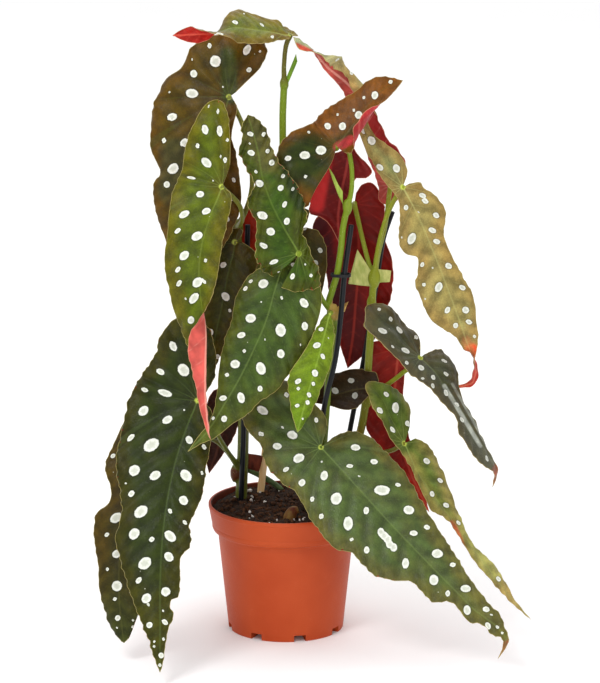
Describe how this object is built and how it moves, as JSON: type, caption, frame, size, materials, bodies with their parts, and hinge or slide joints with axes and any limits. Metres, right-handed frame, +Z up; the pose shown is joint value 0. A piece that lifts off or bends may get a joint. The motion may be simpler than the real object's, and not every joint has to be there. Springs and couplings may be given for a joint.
{
  "type": "potted begonia",
  "caption": "Potted polka dot begonia with upright canes, stakes and long wing shaped spotted leaves, standing in a round tapered nursery pot with a stepped rim.",
  "frame": {"origin": "centre of the pot's underside, on the floor the pot stands on", "axes": "+Z up along the pot's axis, -Y towards the viewer of the picture, +X to the viewer's right"},
  "size_m": [0.3343, 0.2114, 0.4868],
  "materials": {
    "pot": "satin",
    "soil": "rough",
    "leaf_green": "satin",
    "leaf_bronze": "satin",
    "leaf_dark": "satin",
    "leaf_red": "satin",
    "cane": "satin",
    "stake": "matte",
    "tie": "matte",
    "stick": "matte"
  },
  "bodies": {
    "root": {"pot": "pot", "soil": "soil", "leaf_top_left": "leaf_green", "leaf_top_red": "leaf_red", "leaf_left_high": "leaf_bronze", "leaf_left_front": "leaf_green", "leaf_centre_crinkled": "leaf_green", "leaf_centre_dark": "leaf_dark", "leaf_top_arched": "leaf_bronze", "leaf_red_flap": "leaf_red", "leaf_red_back": "leaf_red", "leaf_right_high": "leaf_bronze", "leaf_right_dark": "leaf_dark", "leaf_centre_broad": "leaf_green", "leaf_young": "leaf_green", "leaf_left_low": "leaf_green", "leaf_left_lowest": "leaf_bronze", "leaf_left_shaded": "leaf_dark", "leaf_front_right": "leaf_green", "leaf_right_low": "leaf_green", "leaf_red_low": "leaf_red", "leaf_small_dark": "leaf_dark", "leaf_red_gap": "leaf_red", "leaf_shadow": "leaf_red", "cane_left": "cane", "cane_top": "cane", "cane_centre": "cane", "cane_right": "cane", "stake_left": "stake", "stake_centre": "stake", "stake_right": "stake", "tie_centre": "tie", "label_stick": "stick"}
  },
  "joints": []
}
